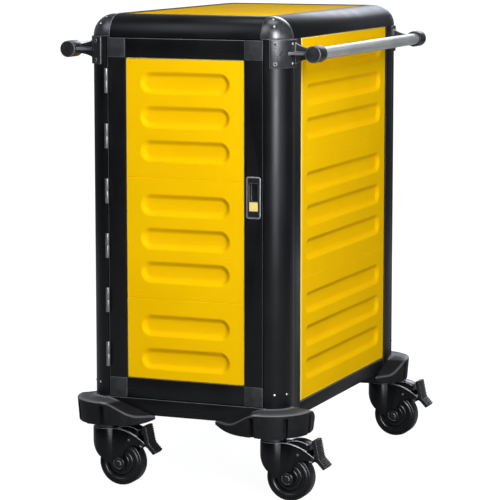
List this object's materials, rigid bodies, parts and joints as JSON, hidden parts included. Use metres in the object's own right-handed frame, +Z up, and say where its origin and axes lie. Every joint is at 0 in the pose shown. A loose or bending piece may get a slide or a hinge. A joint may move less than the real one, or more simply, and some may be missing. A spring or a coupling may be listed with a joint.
{
  "type": "heated food trolley",
  "caption": "Heated food trolley: insulated upright cabinet with framed pressed panels, hinged front door with push latch, side push handles, corner bumpers and braked swivel castors.",
  "frame": {"origin": "on the floor under the middle of the cabinet", "axes": "+Z up, door facing -Y, +X to the right of a person looking at the door"},
  "size_m": [0.6606, 0.8862, 1.09],
  "materials": {
    "frame_black": "satin powder coat",
    "panel_yellow": "smooth gloss coat",
    "block_grey": "matte moulding",
    "corner_black": "semi-gloss moulding",
    "bracket_black": "fine-grained moulding",
    "tube_aluminium": "anodised",
    "hinge_grey": "satin",
    "fastener_steel": "bright",
    "bumper_grey": "matte moulding",
    "castor_black": "satin coat",
    "castor_steel": "black zinc plated",
    "hub_grey": "moulded",
    "tyre_black": "matte tread",
    "pedal_black": "moulded",
    "liner_steel": "fine brushed",
    "insulation": "mineral wool",
    "gasket_black": "soft matte",
    "bezel_grey": "fine-grained moulding",
    "latch_dark": "moulded",
    "button_yellow": "moulded",
    "heater_steel": "dark heated tube",
    "control_grey": "satin coat",
    "control_black": "moulded"
  },
  "bodies": {
    "cabinet": {"corner_posts": "frame_black", "top_rails": "frame_black", "bottom_rails": "frame_black", "corner_caps": "corner_black", "base_plate": "liner_steel", "top_panel": "panel_yellow", "left_panel": "panel_yellow", "right_panel": "panel_yellow", "rear_panel": "panel_yellow", "door_surround": "frame_black", "inner_side_walls": "liner_steel", "inner_floor": "liner_steel", "inner_ceiling": "liner_steel", "inner_rear_wall": "liner_steel", "heating_element": "heater_steel", "wall_insulation": "insulation", "shelf_runners": "liner_steel", "hinge_post_knuckles": "hinge_grey", "hinge_pins": "fastener_steel", "strike_plate": "fastener_steel", "handle_tubes": "tube_aluminium", "handle_brackets": "bracket_black", "handle_end_caps": "bracket_black", "frame_fasteners": "fastener_steel", "corner_bumpers": "bumper_grey", "castor_plates": "castor_steel", "control_panel": "control_grey", "power_inlet": "control_black"},
    "door": {"door_hinge_stile": "frame_black", "door_latch_stile": "frame_black", "door_rails": "frame_black", "door_corner_blocks": "block_grey", "door_panel": "panel_yellow", "door_liner": "liner_steel", "door_insulation": "insulation", "door_gasket": "gasket_black", "hinge_door_knuckles": "hinge_grey", "latch_bezel": "bezel_grey", "latch_housing": "latch_dark"},
    "latch_button": {"latch_button": "button_yellow"},
    "latch_bolt": {"latch_bolt": "fastener_steel"},
    "thermostat_knob": {"thermostat_knob": "control_black"},
    "power_switch": {"power_switch": "control_black"},
    "castor_front_left": {"castor_fork_front_left": "castor_black"},
    "wheel_front_left": {"castor_hub_front_left": "hub_grey", "castor_tyre_front_left": "tyre_black"},
    "pedal_front_left": {"brake_pedal_front_left": "pedal_black"},
    "castor_front_right": {"castor_fork_front_right": "castor_black"},
    "wheel_front_right": {"castor_hub_front_right": "hub_grey", "castor_tyre_front_right": "tyre_black"},
    "pedal_front_right": {"brake_pedal_front_right": "pedal_black"},
    "castor_rear_left": {"castor_fork_rear_left": "castor_black"},
    "wheel_rear_left": {"castor_hub_rear_left": "hub_grey", "castor_tyre_rear_left": "tyre_black"},
    "pedal_rear_left": {"brake_pedal_rear_left": "pedal_black"},
    "castor_rear_right": {"castor_fork_rear_right": "castor_black"},
    "wheel_rear_right": {"castor_hub_rear_right": "hub_grey", "castor_tyre_rear_right": "tyre_black"},
    "pedal_rear_right": {"brake_pedal_rear_right": "pedal_black"}
  },
  "joints": [
    {"name": "door_swing", "type": "hinge", "parent": "cabinet", "child": "door", "pos_m": [-0.1909, -0.4028, 0.625], "axis": [0, 0, -1], "range_deg": [0, 180]},
    {"name": "button_press", "type": "slide", "parent": "door", "child": "latch_button", "axis": [0, 1, 0], "range_m": [0, 0.004], "stiffness_N_per_m": 500},
    {"name": "bolt_slide", "type": "slide", "parent": "door", "child": "latch_bolt", "axis": [-1, 0, 0], "range_m": [0, 0.008]},
    {"name": "knob_turn", "type": "hinge", "parent": "cabinet", "child": "thermostat_knob", "pos_m": [0.07, 0.399, 0.905], "axis": [0, 1, 0], "range_deg": [0, 270]},
    {"name": "switch_rock", "type": "hinge", "parent": "cabinet", "child": "power_switch", "pos_m": [0.005, 0.393, 0.905], "axis": [1, 0, 0], "range_deg": [-16, 0]},
    {"name": "castor_swivel_front_left", "type": "hinge", "parent": "cabinet", "child": "castor_front_left", "pos_m": [-0.209, -0.374, 0.134], "axis": [0, 0, 1], "continuous": true},
    {"name": "wheel_spin_front_left", "type": "hinge", "parent": "castor_front_left", "child": "wheel_front_left", "pos_m": [-0.167, -0.374, 0.0535], "axis": [0, 1, 0], "continuous": true},
    {"name": "brake_press_front_left", "type": "hinge", "parent": "castor_front_left", "child": "pedal_front_left", "pos_m": [-0.112, -0.374, 0.1], "axis": [0, 1, 0], "range_deg": [0, 15]},
    {"name": "castor_swivel_front_right", "type": "hinge", "parent": "cabinet", "child": "castor_front_right", "pos_m": [0.209, -0.374, 0.134], "axis": [0, 0, 1], "continuous": true},
    {"name": "wheel_spin_front_right", "type": "hinge", "parent": "castor_front_right", "child": "wheel_front_right", "pos_m": [0.251, -0.374, 0.0535], "axis": [0, 1, 0], "continuous": true},
    {"name": "brake_press_front_right", "type": "hinge", "parent": "castor_front_right", "child": "pedal_front_right", "pos_m": [0.306, -0.374, 0.1], "axis": [0, 1, 0], "range_deg": [0, 15]},
    {"name": "castor_swivel_rear_left", "type": "hinge", "parent": "cabinet", "child": "castor_rear_left", "pos_m": [-0.209, 0.374, 0.134], "axis": [0, 0, 1], "continuous": true},
    {"name": "wheel_spin_rear_left", "type": "hinge", "parent": "castor_rear_left", "child": "wheel_rear_left", "pos_m": [-0.167, 0.374, 0.0535], "axis": [0, 1, 0], "continuous": true},
    {"name": "brake_press_rear_left", "type": "hinge", "parent": "castor_rear_left", "child": "pedal_rear_left", "pos_m": [-0.112, 0.374, 0.1], "axis": [0, 1, 0], "range_deg": [0, 15]},
    {"name": "castor_swivel_rear_right", "type": "hinge", "parent": "cabinet", "child": "castor_rear_right", "pos_m": [0.209, 0.374, 0.134], "axis": [0, 0, 1], "continuous": true},
    {"name": "wheel_spin_rear_right", "type": "hinge", "parent": "castor_rear_right", "child": "wheel_rear_right", "pos_m": [0.251, 0.374, 0.0535], "axis": [0, 1, 0], "continuous": true},
    {"name": "brake_press_rear_right", "type": "hinge", "parent": "castor_rear_right", "child": "pedal_rear_right", "pos_m": [0.306, 0.374, 0.1], "axis": [0, 1, 0], "range_deg": [0, 15]}
  ],
  "couplings": [
    {"joint": "bolt_slide", "follows": "button_press", "ratio": 2}
  ]
}
